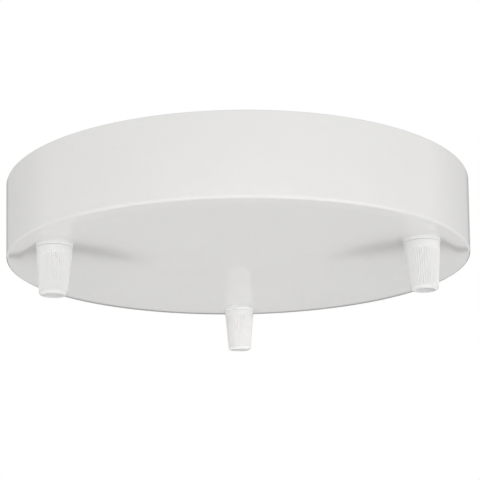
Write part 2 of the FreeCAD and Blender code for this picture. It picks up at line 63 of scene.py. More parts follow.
# Lengths are in millimetres and angles in degrees.
NO_LENGTH = 1e-5  # a shorter one counts as none
SAME_CORNER = 1e-4  # closer corners are merged
SAME_SOLID_CORNER = 0.002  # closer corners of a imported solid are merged
ON_SURFACE = 1e-3  # a closer vertex lies on a turned surface
PAST = 1.0  # how far a tool reaches past what it cuts
FLAT_ANGLE = 1.0  # faces that turn less from each other are one flat face
SHARP_ANGLE = 32.0  # an edge with a larger angle between its faces is sharp
ROUND = 64  # the faces round a hole
SOFT_SEGMENTS = 2  # the steps of a softened edge
SHADING_WEIGHT = 80  # how far large faces decide the shading beside them


class Combine(Enum):
    """How a tool changes a blank."""

    CUT = "DIFFERENCE"
    JOIN = "UNION"
    KEEP = "INTERSECT"


class Axis(Enum):
    """The direction that a prism or a bar runs in, with the turn that brings Z there."""

    X = Matrix.Rotation(math.pi / 2, 4, "Y")
    Y = Matrix.Rotation(-math.pi / 2, 4, "X")
    Z = Matrix.Identity(4)


# --- Shaping -------------------------------------------------------------------------------


@dataclass(frozen=True)
class Corner:
    """A corner of an outline, in millimetres.

    Args:
        across: The distance from the axis, or along the outline's first direction.
        up: The distance along the axis, or along the outline's second direction.
        radius: The rounding of the corner, 0 for a sharp one.
        segments: The steps of the rounding; 1 makes a chamfer.
        rows: Extra cuts of the side from this corner to the next.
    """

    across: float
    up: float
    radius: float = 0.0
    segments: int = 3
    rows: int = 0


@dataclass(frozen=True)
class Thread:
    """A right-handed screw thread, cut into a turned surface between two heights.

    Args:
        crest: The radius of the surface that it is cut into, in millimetres.
        pitch: The rise of one turn.
        depth: The depth of the groove.
        low: The lower end of the cut.
        high: The upper end of the cut.
        run_out: The length over which the groove fades at each end.
        flat: How much of a flank's width the crest and the root are flat.
    """

    crest: float
    pitch: float
    depth: float
    low: float
    high: float
    run_out: float = 0.5
    flat: float = 0.15

    def cut_at(self, angle: float, z: float) -> float:
        """The depth of the groove at an angle about the axis and a height."""
        turn = (angle / FULL_TURN - z / self.pitch) % 1.0
        flank = min(1.0, max(0.0, (1 + 2 * self.flat) * abs(2 * turn - 1) - self.flat))
        ends = min(z - self.low, self.high - z) / self.run_out
        return self.depth * flank * min(1.0, max(0.0, ends))


class Blank:
    """A mesh while it is shaped, in millimetres for the part and in metres for the studio."""

    def __init__(self) -> None:
        """An empty blank."""
        self.mesh = bmesh.new()

    @classmethod
    def outline(cls, corners: Sequence[Corner]) -> "Blank":
        """A flat face in the XZ plane with rounded corners and cut sides.

        Args:
            corners: The outline's corners in order.

        Returns:
            A blank that holds one face.
        """
        blank = cls()
        mesh = blank.mesh
        points = [mesh.verts.new((c.across, 0.0, c.up)) for c in corners]
        mesh.faces.new(points)
        places = [point.co.copy() for point in points]
        for number, (corner, point) in enumerate(zip(corners, points)):
            if corner.radius <= 0:
                continue
            before = places[number - 1] - places[number]
            after = places[(number + 1) % len(places)] - places[number]
            reach = corner.radius / math.tan(before.angle(after) / 2)
            bmesh.ops.bevel(
                mesh, geom=[point], affect="VERTICES", offset=reach, offset_type="OFFSET",
                segments=corner.segments, profile=0.5, material=-1,
            )
        for number, corner in enumerate(corners):
            if corner.rows:
                start, end = places[number], places[(number + 1) % len(places)]
                side = [e for e in mesh.edges if all(on_side(v.co, start, end) for v in e.verts)]
                bmesh.ops.subdivide_edges(mesh, edges=side, cuts=corner.rows)
        return blank

    @classmethod
    def lathe(cls, corners: Sequence[Corner], steps: int) -> "Blank":
        """A solid turned about Z.

        Args:
            corners: The profile: the distance from the axis, and the height.
            steps: The number of faces round the axis.

        Returns:
            The closed turned blank.
        """
        blank = cls.outline(corners)
        mesh = blank.mesh
        bmesh.ops.delete(mesh, geom=mesh.faces[:], context="FACES_ONLY")
        on_axis = [e for e in mesh.edges if all(abs(v.co.x) < NO_LENGTH for v in e.verts)]
        bmesh.ops.delete(mesh, geom=on_axis, context="EDGES")
        bmesh.ops.spin(
            mesh, geom=mesh.verts[:] + mesh.edges[:], cent=(0, 0, 0), axis=(0, 0, 1),
            angle=FULL_TURN, steps=steps, use_merge=True,
        )
        return blank.clean()

    @classmethod
    def prism(cls, corners: Sequence[Corner], axis: Axis, low: float, high: float) -> "Blank":
        """A solid with a constant outline along an axis.

        Args:
            corners: The outline: Y and Z for a prism along X, X and Z along Y, X and Y along Z.
            axis: The direction it runs in.
            low: Where it starts.
            high: Where it ends.

        Returns:
            The closed blank.
        """
        blank = cls.outline(corners)
        mesh = blank.mesh
        raised = bmesh.ops.extrude_face_region(mesh, geom=mesh.faces[:])["geom"]
        moved = [item for item in raised if isinstance(item, bmesh.types.BMVert)]
        bmesh.ops.translate(mesh, verts=moved, vec=(0, high - low, 0))
        bmesh.ops.translate(mesh, verts=mesh.verts[:], vec=(0, low, 0))
        lay = {
            Axis.X: Matrix(((0, 1, 0, 0), (1, 0, 0, 0), (0, 0, 1, 0), (0, 0, 0, 1))),
            Axis.Y: Matrix.Identity(4),
            Axis.Z: Matrix(((1, 0, 0, 0), (0, 0, 1, 0), (0, 1, 0, 0), (0, 0, 0, 1))),
        }[axis]
        bmesh.ops.transform(mesh, matrix=lay, verts=mesh.verts[:])
        return blank.clean()

    @classmethod
    def bar(cls, radius: float, axis: Axis, centre: Sequence[float], length: float, steps: int = ROUND) -> "Blank":
        """A round bar about a centre.

        Args:
            radius: Its radius.
            axis: The direction it runs in.
            centre: Its middle.
            length: Its length.
            steps: The number of faces round it.

        Returns:
            The closed blank.
        """
        blank = cls()
        bmesh.ops.create_cone(
            blank.mesh, cap_ends=True, cap_tris=False, segments=steps, radius1=radius, radius2=radius,
            depth=length, matrix=Matrix.Translation(centre) @ axis.value,
        )
        return blank

    @classmethod
    def block(cls, centre: Sequence[float], size: Sequence[float]) -> "Blank":
        """A rectangular block about a centre."""
        blank = cls()
        scale = Matrix.Diagonal((*size, 1.0))
        bmesh.ops.create_cube(blank.mesh, size=1.0, matrix=Matrix.Translation(centre) @ scale)
        return blank

    @classmethod
    def of_node(cls, node: str) -> "Blank":
        """A merged copy of a solid of the frame, with its flat faces in one piece."""
        blank = cls()
        blank.mesh.from_mesh(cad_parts[node].data)
        bmesh.ops.scale(blank.mesh, vec=(1 / MM,) * 3, verts=blank.mesh.verts[:])
        bmesh.ops.remove_doubles(blank.mesh, verts=blank.mesh.verts[:], dist=SAME_SOLID_CORNER)
        bmesh.ops.dissolve_limit(
            blank.mesh, angle_limit=math.radians(FLAT_ANGLE), verts=blank.mesh.verts[:], edges=blank.mesh.edges[:],
        )
        return blank

    def clean(self) -> "Blank":
        """Merge what touches and turn the faces outwards."""
        bmesh.ops.remove_doubles(self.mesh, verts=self.mesh.verts[:], dist=SAME_CORNER)
        bmesh.ops.recalc_face_normals(self.mesh, faces=self.mesh.faces[:])
        return self

    def shape_radius(self, change: Callable[[float, float, float], float]) -> "Blank":
        """Move every vertex along its radius about Z.

        Args:
            change: Gives the new radius from the angle, the radius and the height.

        Returns:
            This blank.
        """
        for vertex in self.mesh.verts:
            radius = math.hypot(vertex.co.x, vertex.co.y)
            if radius > 0:
                factor = change(math.atan2(vertex.co.y, vertex.co.x), radius, vertex.co.z) / radius
                vertex.co.x *= factor
                vertex.co.y *= factor
        return self

    def cut_threads(self, threads: Sequence[Thread]) -> "Blank":
        """Cut screw threads into the turned surfaces that they name."""

        def change(angle: float, radius: float, z: float) -> float:
            """The radius with the threads in it."""
            for thread in threads:
                if abs(radius - thread.crest) < ON_SURFACE and thread.low <= z <= thread.high:
                    return radius - thread.cut_at(angle, z)
            return radius

        return self.shape_radius(change)

    def combine(self, tool: "Blank", how: Combine = Combine.CUT) -> "Blank":
        """Cut, join or keep what a second blank covers.

        Args:
            tool: The second blank, which is used up.
            how: What it does.

        Returns:
            This blank.
        """
        body, other = self.as_object("body"), tool.as_object("tool")
        step = body.modifiers.new("combine", "BOOLEAN")
        step.operation = how.value
        step.object = other
        step.solver = "EXACT"
        graph = bpy.context.evaluated_depsgraph_get()
        made = bpy.data.meshes.new_from_object(body.evaluated_get(graph))
        self.mesh = bmesh.new()
        self.mesh.from_mesh(made)
        bpy.data.meshes.remove(made)
        for item in (body, other):
            used = item.data
            bpy.data.objects.remove(item)
            bpy.data.meshes.remove(used)
        return self

    def soften(self, width: float) -> "Blank":
        """Round every sharp edge, with a rounding of a width."""
        least = math.radians(SHARP_ANGLE)
        sharp = [e for e in self.mesh.edges if len(e.link_faces) == 2 and e.calc_face_angle() > least]
        bmesh.ops.bevel(
            self.mesh, geom=sharp, affect="EDGES", offset=width, offset_type="OFFSET", segments=SOFT_SEGMENTS,
            profile=0.5, material=-1, clamp_overlap=True,
        )
        return self

    def move(self, x: float = 0.0, y: float = 0.0, z: float = 0.0, turn: float = 0.0) -> "Blank":
        """Turn about Z by degrees, then move by millimetres."""
        matrix = Matrix.Translation((x, y, z)) @ Matrix.Rotation(math.radians(turn), 4, "Z")
        bmesh.ops.transform(self.mesh, matrix=matrix, verts=self.mesh.verts[:])
        return self

    def lay(self, axis: Axis) -> "Blank":
        """Turn what was built about Z so that it runs along an axis."""
        bmesh.ops.transform(self.mesh, matrix=axis.value, verts=self.mesh.verts[:])
        return self

    def as_object(self, name: str) -> bpy.types.Object:
        """Hand the mesh over to a new object; the blank is used up."""
        data = bpy.data.meshes.new(name)
        self.mesh.to_mesh(data)
        self.mesh.free()
        return place_object(name, data)

    def finish(self, name: str, material: bpy.types.Material) -> bpy.types.Object:
        """Turn the blank into a piece in metres.

        Args:
            name: The piece's name.
            material: Its material.

        Returns:
            The piece.
        """
        bmesh.ops.dissolve_degenerate(self.mesh, dist=NO_LENGTH, edges=self.mesh.edges[:])
        bmesh.ops.scale(self.mesh, vec=(MM,) * 3, verts=self.mesh.verts[:])
        piece = self.as_object(name)
        piece.data.materials.append(material)
        piece.data.shade_smooth()
        piece.data.set_sharp_from_angle(angle=math.radians(SHARP_ANGLE))
        weigh = piece.modifiers.new("even_shading", "WEIGHTED_NORMAL")
        weigh.keep_sharp = True
        weigh.weight = SHADING_WEIGHT
        triangles = sum(len(face.vertices) - 2 for face in piece.data.polygons)
        LOG.info("%s: %d triangles", name, triangles)
        return piece


def place_object(name: str, data: bpy.types.ID) -> bpy.types.Object:
    """Put a mesh, a lamp or a camera into the scene as a new object."""
    made = bpy.data.objects.new(name, data)
    bpy.context.scene.collection.objects.link(made)
    return made


def on_side(point: Vector, start: Vector, end: Vector) -> bool:
    """Whether a point lies on the straight side between two others."""
    along = (end - start).normalized()
    reach = (point - start).dot(along)
    aside = (point - start).cross(along).length
    return aside < NO_LENGTH and -NO_LENGTH < reach < (end - start).length + NO_LENGTH


def carry(piece: bpy.types.Object, body: str, slot: str, *nodes: str) -> None:
    """Let a piece ride on a body and stand for nodes of the frame, whose solids it hides."""
    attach(piece, body)
    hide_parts(*nodes)


def outlet_centre(outlet: str) -> Vector:
    """The middle of an outlet's stem in millimetres, from the frame."""
    low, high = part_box(f"grip_stem_{outlet}")
    return (low + high) / 2 / MM


# --- Finishes ------------------------------------------------------------------------------


class Signal:
    """A node's output that takes part in Python expressions."""

    def __init__(self, recipe: "Recipe", socket: bpy.types.NodeSocket) -> None:
        """Wrap a socket of a recipe's nodes."""
        self.recipe = recipe
        self.socket = socket

    def _with(self, operation: str, first: "Level", second: "Level") -> "Signal":
        """A Math node on two values."""
        return self.recipe.node("ShaderNodeMath", {"operation": operation}, {0: first, 1: second})

    def __add__(self, other: "Level") -> "Signal":
        """The sum."""
        return self._with("ADD", self, other)

    def __radd__(self, other: "Level") -> "Signal":
        """The sum, reflected."""
        return self._with("ADD", other, self)

    def __sub__(self, other: "Level") -> "Signal":
        """The difference."""
        return self._with("SUBTRACT", self, other)

    def __rsub__(self, other: "Level") -> "Signal":
        """The difference, reflected."""
        return self._with("SUBTRACT", other, self)

    def __mul__(self, other: "Level") -> "Signal":
        """The product."""
        return self._with("MULTIPLY", self, other)

    def __rmul__(self, other: "Level") -> "Signal":
        """The product, reflected."""
        return self._with("MULTIPLY", other, self)

    def above(self, start: float, end: float) -> "Signal":
        """0 below the start, 1 above the end, and smooth between them."""
        settings = {"interpolation_type": "SMOOTHSTEP"}
        return self.recipe.node("ShaderNodeMapRange", settings, {"Value": self, "From Min": start, "From Max": end})

    def between(self, start: float, end: float, soft: float) -> "Signal":
        """1 between two values, 0 beyond them, with soft ends."""
        return self.above(start - soft, start + soft) * (1.0 - self.above(end - soft, end + soft))


Level = Union[Signal, float]


class Recipe:
    """The node tree of one material."""

    def __init__(self, name: str) -> None:
        """Start a material that reads Object coordinates."""
        self.material = bpy.data.materials.new(name)
        self.material.use_nodes = True
        self.tree = self.material.node_tree
        self.tree.nodes.clear()
        self.place = self.node("ShaderNodeTexCoord", output="Object")

    def node(
        self,
        kind: str,
        settings: Optional[Mapping[str, Any]] = None,
        inputs: Optional[Mapping[Union[str, int], Any]] = None,
        output: Union[str, int] = 0,
    ) -> Signal:
        """Add any node.

        Args:
            kind: The node's type.
            settings: Its properties, which are set first.
            inputs: The values of its sockets, or signals linked to them.
            output: The output to read.

        Returns:
            That output as a signal.
        """
        made = self.tree.nodes.new(kind)
        for name, value in (settings or {}).items():
            setattr(made, name, value)
        for name, value in (inputs or {}).items():
            if isinstance(value, Signal):
                self.tree.links.new(value.socket, made.inputs[name])
            else:
                made.inputs[name].default_value = value
        return Signal(self, made.outputs[output])

    def noise(self, size_mm: float, detail: float, stretch: Optional[Triple] = None) -> Signal:
        """Cloudy noise.

        Args:
            size_mm: The size of its features in millimetres.
            detail: How fine it goes.
            stretch: How much longer the features are along X, Y and Z.

        Returns:
            A value about 0.5.
        """
        place = self.place
        if stretch:
            squeeze = tuple(1 / factor for factor in stretch)
            place = self.node("ShaderNodeMapping", None, {"Vector": place, "Scale": squeeze})
        inputs = {"Vector": place, "Scale": 1 / (size_mm * MM), "Detail": detail}
        return self.node("ShaderNodeTexNoise", None, inputs)

    def blend(self, share: Level, first: Union[Signal, Colour], second: Colour) -> Signal:
        """A colour between two others."""
        start = first if isinstance(first, Signal) else (*first, 1.0)
        inputs = {0: share, 6: start, 7: (*second, 1.0)}
        return self.node("ShaderNodeMix", {"data_type": "RGBA"}, inputs, output=2)

    def along(self, axis: str) -> Signal:
        """The place along an axis, in metres."""
        return self.node("ShaderNodeSeparateXYZ", None, {0: self.place}, output=axis)

    def relief(self, height: Signal, depth_mm: float) -> Signal:
        """A surface relief from a height between 0 and 1."""
        return self.node("ShaderNodeBump", None, {"Height": height, "Strength": 1.0, "Distance": depth_mm * MM})

    def close(self, inputs: Mapping[str, Any]) -> bpy.types.Material:
        """End the tree in a surface shader.

        Args:
            inputs: The shader's values and signals.

        Returns:
            The material.
        """
        surface = self.node("ShaderNodeBsdfPrincipled", None, inputs)
        self.node_output(surface)
        return self.material

    def node_output(self, surface: Signal) -> None:
        """Link a shader to the material's output."""
        end = self.tree.nodes.new("ShaderNodeOutputMaterial")
        self.tree.links.new(surface.socket, end.inputs["Surface"])


@dataclass(frozen=True)
class MouldedPlastic:
    """An injection-moulded plastic with a fine skin, faint clouds, handling marks and, where given, a painted
    highlight along an edge.

    Args:
        name: The material's name.
        colour: Its main colour, linear.
        cloud: The colour of the faint clouds in it.
        gloss: The roughness of clean plastic.
        haze: How much rougher it is where it was handled.
        skin_mm: The grain of the mould's surface.
        skin_depth_mm: The depth of that grain.
        ripple_depth_mm: The depth of the slow waves left by cooling.
        coat: The weight of the clear skin left by a polished mould.
        painted_highlight: The paler colour of a band painted along an edge as a highlight.
        painted_highlight_mm: The heights between which that highlight is painted; none if they are equal.
    """

    name: str
    colour: Colour
    cloud: Colour
    gloss: float
    haze: float
    skin_mm: float
    skin_depth_mm: float
    ripple_depth_mm: float
    coat: float = 0.0
    painted_highlight: Colour = (1.0, 1.0, 1.0)
    painted_highlight_mm: Span = (0.0, 0.0)

    def material(self) -> bpy.types.Material:
        """Build the material."""
        mix = Recipe(self.name)
        clouds = mix.noise(22.0, 4.0).above(0.35, 0.7)
        handled = mix.noise(9.0, 5.0).above(0.45, 0.75)
        skin = mix.relief(mix.noise(self.skin_mm, 2.0), self.skin_depth_mm)
        ripple = mix.noise(14.0, 1.0)
        normal = mix.node("ShaderNodeBump", None, {
            "Height": ripple, "Strength": 1.0, "Distance": self.ripple_depth_mm * MM, "Normal": skin,
        })
        colour = mix.blend(clouds, self.colour, self.cloud)
        # Painted highlight: a paler band of base colour between two heights, standing in for the gloss on an edge
        # rounding.
        low, high = (height * MM for height in self.painted_highlight_mm)
        if low < high:
            colour = mix.blend(mix.along("Z").between(low, high, 0.1 * MM), colour, self.painted_highlight)
        return mix.close({
            "Base Color": colour,
            "Roughness": self.gloss + self.haze * handled,
            "Coat Weight": self.coat,
            "Coat Roughness": 0.07,
            "Normal": normal,
            "IOR": 1.5,
        })


@dataclass(frozen=True)
class PlatedSteel:
    """Zinc-plated steel with rolling lines and faint passivation tints.

    Args:
        name: The material's name.
        colour: The plating's colour, linear.
        tint: The colour of its cloudy tints.
        gloss: The roughness of the smooth places.
        grain_stretch: How long the lines are along X, Y and Z.
    """

    name: str
    colour: Colour
    tint: Colour
    gloss: float
    grain_stretch: Triple

    def material(self) -> bpy.types.Material:
        """Build the material."""
        mix = Recipe(self.name)
        lines = mix.noise(0.25, 4.0, self.grain_stretch)
        tints = mix.noise(7.0, 3.0).above(0.4, 0.7)
        crystals = mix.noise(0.9, 2.0).above(0.4, 0.65)
        return mix.close({
            "Base Color": mix.blend(0.8 * tints + 0.2 * crystals, self.colour, self.tint),
            "Metallic": 1.0,
            "Roughness": self.gloss + 0.1 * crystals + 0.12 * lines,
            "Normal": mix.relief(lines, 0.006),
        })


@dataclass(frozen=True)
class DrawnBrass:
    """Drawn brass, a little dull, with marks along the tube.

    Args:
        name: The material's name.
        colour: Clean brass, linear.
        tarnish: The colour of its dull places.
    """

    name: str
    colour: Colour
    tarnish: Colour

    def material(self) -> bpy.types.Material:
        """Build the material."""
        mix = Recipe(self.name)
        marks = mix.noise(0.12, 3.0, (1.0, 14.0, 1.0))
        dull = mix.noise(2.2, 4.0).above(0.42, 0.7)
        return mix.close({
            "Base Color": mix.blend(dull, self.colour, self.tarnish),
            "Metallic": 1.0,
            "Roughness": 0.24 + 0.16 * dull + 0.1 * marks,
            "Normal": mix.relief(marks, 0.004),
        })


@dataclass(frozen=True)
class StudioFloor:
    """The pale matt floor under the part.

    Args:
        name: The material's name.
        colour: Its colour, linear.
    """

    name: str
    colour: Colour

    def material(self) -> bpy.types.Material:
        """Build the material."""
        mix = Recipe(self.name)
        paler = tuple(min(1.0, 1.02 * level) for level in self.colour)
        return mix.close({
            "Base Color": mix.blend(mix.noise(400.0, 2.0), self.colour, paler),
            "Roughness": 0.9,
        })


@dataclass
class Palette:
    """The materials of the part, one for each finish."""

    canopy: bpy.types.Material
    grip: bpy.types.Material
    strap: bpy.types.Material
    screw: bpy.types.Material
    brass: bpy.types.Material
    block: bpy.types.Material

    @classmethod
    def mixed(cls) -> "Palette":
        """Build every material."""
        return cls(
            # The canopy's paler band along the rounding of its lower edge is a painted highlight, not wear.
            canopy=MouldedPlastic(
                "glossy_white_canopy", colour=(0.814, 0.808, 0.790), cloud=(0.804, 0.798, 0.778),
                gloss=0.045, haze=0.015, skin_mm=0.45, skin_depth_mm=0.0002, ripple_depth_mm=0.002,
                coat=0.7, painted_highlight=(0.846, 0.841, 0.826), painted_highlight_mm=(-24.55, -23.9),
            ).material(),
            grip=MouldedPlastic(
                "half_gloss_white_grip", colour=(0.875, 0.875, 0.87), cloud=(0.86, 0.86, 0.85),
                gloss=0.16, haze=0.05, skin_mm=0.3, skin_depth_mm=0.0006, ripple_depth_mm=0.001,
            ).material(),
            strap=PlatedSteel(
                "zinc_plated_strap", colour=(0.66, 0.67, 0.68), tint=(0.60, 0.62, 0.66),
                gloss=0.26, grain_stretch=(30.0, 1.0, 1.0),
            ).material(),
            screw=PlatedSteel(
                "zinc_plated_screw", colour=(0.64, 0.65, 0.66), tint=(0.58, 0.59, 0.62),
                gloss=0.24, grain_stretch=(1.0, 1.0, 1.0),
            ).material(),
            brass=DrawnBrass("drawn_brass", colour=(0.76, 0.56, 0.25), tarnish=(0.58, 0.41, 0.18)).material(),
            block=MouldedPlastic(
                "natural_polyamide", colour=(0.78, 0.76, 0.68), cloud=(0.72, 0.69, 0.60),
                gloss=0.42, haze=0.1, skin_mm=0.25, skin_depth_mm=0.004, ripple_depth_mm=0.003,
            ).material(),
        )


# --- The pieces ----------------------------------------------------------------------------


@dataclass
class Canopy:
    """The moulded pan, with outlet bosses and countersunk seats for two side screws."""

    face_radius: float = 75.0
    flare: float = 1.0
    height: float = 25.0
    wall: float = 2.0
    edge_radius: float = 0.8
    edge_lift: float = 0.34
    lift_width: float = 3.0
    lift_radius: float = 40.0
    rim_radius: float = 0.3
    inner_radius: float = 1.0
    hold: float = 0.4
    boss_radius: float = 7.806
    boss_height: float = 1.0
    hole_radius: float = 4.2
    seat_drop: float = 8.0
    pad_radius: float = 6.0
    pad_depth: float = 1.6
    screw_hole: float = 2.2
    seat_mouth: float = 4.2
    seat_sink: float = 0.45
    seat_depth: float = 2.0
    steps: int = 288

    def build(self, palette: Palette, centres: Sequence[Vector]) -> None:
        """Build the pan and stand it for its node.

        Args:
            palette: The materials.
            centres: The middles of the outlets.
        """
        rim, floor = self.face_radius + self.flare, self.wall - self.height
        blank = Blank.lathe([
            Corner(0.0, -self.height),
            Corner(self.face_radius - self.lift_width, -self.height, self.lift_radius, 8),
            Corner(self.face_radius, self.edge_lift - self.height, self.edge_radius, 7),
            Corner(rim, 0.0, self.rim_radius, 3),
            Corner(rim - self.wall, 0.0, self.rim_radius, 3),
            Corner(self.face_radius - self.wall, floor, self.inner_radius, 4),
            Corner(self.face_radius - self.wall - self.inner_radius - self.hold, floor),
            Corner(0.0, floor),
        ], self.steps)
        wall_x = self.face_radius + self.flare * (1 - self.seat_drop / self.height)
        pad_x = wall_x - self.wall - self.pad_depth
        pad_end = pad_x + self.pad_depth + self.wall / 2
        for centre in centres:
            middle = (centre.x, centre.y, floor)
            blank.combine(Blank.bar(self.boss_radius, Axis.Z, middle, 2 * self.boss_height), Combine.JOIN)
        for side in SIDES:
            middle = (side * (pad_x + pad_end) / 2, 0.0, -self.seat_drop)
            blank.combine(Blank.bar(self.pad_radius, Axis.X, middle, pad_end - pad_x), Combine.JOIN)
        for centre in centres:
            middle = (centre.x, centre.y, -self.height)
            blank.combine(Blank.bar(self.hole_radius, Axis.Z, middle, self.height))
        cone_x = wall_x - self.seat_sink
        seat = Blank.lathe([
            Corner(0.0, pad_x - self.wall),
            Corner(self.screw_hole, pad_x - self.wall),
            Corner(self.screw_hole, cone_x - self.seat_depth),
            Corner(self.seat_mouth, cone_x),
            Corner(self.seat_mouth, wall_x + self.wall),
            Corner(0.0, wall_x + self.wall),
        ], ROUND).lay(Axis.X).move(z=-self.seat_drop)
        other = Blank()
        other.mesh = seat.mesh.copy()
        blank.combine(seat).combine(other.move(turn=180.0))
        carry(blank.finish("canopy_pan", palette.canopy), "root", "canopy_plastic", "canopy")


@dataclass
class CordGrip:
    """One cord grip: a threaded stem, a ribbed cap, a split ring and a nut.

    Heights are from the ceiling plane, in millimetres.
    """

    outlet: str
    turn: float
    thread_radius: float = 4.0
    thread_depth: float = 0.38
    pitch: float = 1.25
    way_radius: float = 2.9
    stem_top: float = -17.0
    face: float = -25.0
    collar_radius: float = 5.6
    collar_end: float = -26.1
    stem_end: float = -33.1
    cap_top: float = -26.16
    cap_tip: float = -40.76
    cap_top_radius: float = 5.45
    cap_tip_radius: float = 4.15
    tip_rounding: float = 1.0
    bore_radius: float = 4.05
    outlet_radius: float = 3.0
    seat_top: float = -33.66
    seat_end: float = -38.26
    ribs: int = 44
    faces_per_rib: int = 8
    rows_along_rib: int = 36
    rib_depth: float = 0.4
    rib_top_margin: float = 2.2
    rib_tip_margin: float = 1.2
    rib_fade: float = 0.5
    ring_top: float = -33.3
    ring_end: float = -36.5
    ring_gap: float = 0.08
    ring_split: float = 0.6
    nut_low: float = -22.0
    nut_height: float = 4.0
    nut_flats: float = 13.0
    nut_chamfer: float = 0.5
    nut_mouth: float = 0.3
    rows_per_pitch: int = 10
    steps: int = 96

    def build(self, palette: Palette) -> None:
        """Build the grip's four pieces at its outlet.

        Args:
            palette: The materials.
        """
        centre = outlet_centre(self.outlet)
        made = [
            (self.stem(), "grip_stem", "root"),
            (self.cap(), "grip_cap", f"cap_{self.outlet}"),
            (self.ring(), "clamp_ring", f"ring_{self.outlet}"),
            (self.nut(), "lock_nut", "root"),
        ]
        for blank, kind, body in made:
            blank.move(centre.x, centre.y, 0.0, self.turn)
            node = f"{kind}_{self.outlet}"
            carry(blank.finish(f"{node}_dressed", palette.grip), body, "grip_plastic", node)

    def rows_over(self, length: float) -> int:
        """The cuts that a thread of a length needs."""
        return int(length / self.pitch * self.rows_per_pitch)

    def stem(self) -> Blank:
        """The threaded tube with its collar."""
        above, below = self.stem_top - self.face, self.collar_end - self.stem_end
        blank = Blank.lathe([
            Corner(self.way_radius, self.stem_top, 0.15, 2),
            Corner(self.thread_radius, self.stem_top, 0.3, 2, rows=self.rows_over(above)),
            Corner(self.thread_radius, self.face),
            Corner(self.collar_radius, self.face),
            Corner(self.collar_radius, self.collar_end, 0.28, 4),
            Corner(self.thread_radius, self.collar_end, rows=self.rows_over(below)),
            Corner(self.thread_radius, self.stem_end, 0.3, 2),
            Corner(self.way_radius, self.stem_end, 0.15, 2),
        ], self.steps)
        return blank.cut_threads([
            self.thread(self.face, self.stem_top),
            self.thread(self.stem_end, self.collar_end),
        ])

    def thread(self, low: float, high: float) -> Thread:
        """A length of the stem's thread."""
        return Thread(self.thread_radius, self.pitch, self.thread_depth, low, high)

    def cap(self) -> Blank:
        """The tapered cap with fine ribs and a cone seat."""
        blank = Blank.lathe([
            Corner(self.bore_radius, self.cap_top, 0.2, 2),
            Corner(self.cap_top_radius, self.cap_top, 0.06, 2, rows=self.rows_along_rib),
            Corner(self.cap_tip_radius, self.cap_tip, self.tip_rounding, 7),
            Corner(self.outlet_radius, self.cap_tip, 0.12, 3),
            Corner(self.outlet_radius, self.seat_end),
            Corner(self.bore_radius, self.seat_top),
        ], self.faces_per_rib * self.ribs)
        slope = (self.cap_top_radius - self.cap_tip_radius) / (self.cap_top - self.cap_tip)
        start, end = self.cap_top - self.rib_top_margin, self.cap_tip + self.rib_tip_margin

        def ribbed(angle: float, radius: float, z: float) -> float:
            """The radius with the grooves between the ribs."""
            if radius < self.cap_top_radius - slope * (self.cap_top - z) - ON_SURFACE:
                return radius
            fade = min(1.0, max(0.0, min(start - z, z - end) / self.rib_fade + 0.5))
            groove = 0.5 + 0.5 * math.cos(self.ribs * angle)
            return radius - self.rib_depth * groove * fade

        return blank.shape_radius(ribbed)

    def ring(self) -> Blank:
        """The split ring that the cone closes on the cable."""
        slope = (self.bore_radius - self.outlet_radius) / (self.seat_top - self.seat_end)
        end_radius = self.bore_radius - slope * (self.seat_top - self.ring_end) - self.ring_gap
        top_radius = self.bore_radius - self.ring_gap
        height = self.ring_top - self.ring_end
        blank = Blank.lathe([
            Corner(self.way_radius, self.ring_top, 0.1, 2),
            Corner(top_radius, self.ring_top, 0.1, 2),
            Corner(top_radius, self.seat_top),
            Corner(end_radius, self.ring_end, 0.1, 2),
            Corner(self.way_radius, self.ring_end, 0.1, 2),
        ], self.steps)
        middle = (self.bore_radius, 0.0, (self.ring_top + self.ring_end) / 2)
        return blank.combine(Blank.block(middle, (self.bore_radius, self.ring_split, 2 * height)))

    def nut(self) -> Blank:
        """The thin hexagon nut inside the canopy."""
        corner = self.nut_flats / 2 / math.cos(math.pi / 6)
        angles = [math.radians(30 + 60 * number) for number in range(6)]
        low, high = self.nut_low, self.nut_low + self.nut_height
        blank = Blank.prism([Corner(corner * math.cos(a), corner * math.sin(a)) for a in angles], Axis.Z, low, high)
        disc = Blank.lathe([
            Corner(0.0, low - PAST),
            Corner(corner + PAST, low - PAST),
            Corner(corner + PAST, high - self.nut_chamfer - PAST),
            Corner(corner - 2 * self.nut_chamfer, high + self.nut_chamfer),
            Corner(0.0, high + self.nut_chamfer),
        ], self.steps)
        bore = Blank.lathe([
            Corner(0.0, low - PAST),
            Corner(self.bore_radius, low - PAST),
            Corner(self.bore_radius, high - self.nut_mouth),
            Corner(self.bore_radius + 2 * self.nut_mouth, high + self.nut_mouth),
            Corner(0.0, high + self.nut_mouth),
        ], ROUND)
        return blank.combine(disc, Combine.KEEP).combine(bore).soften(0.12)


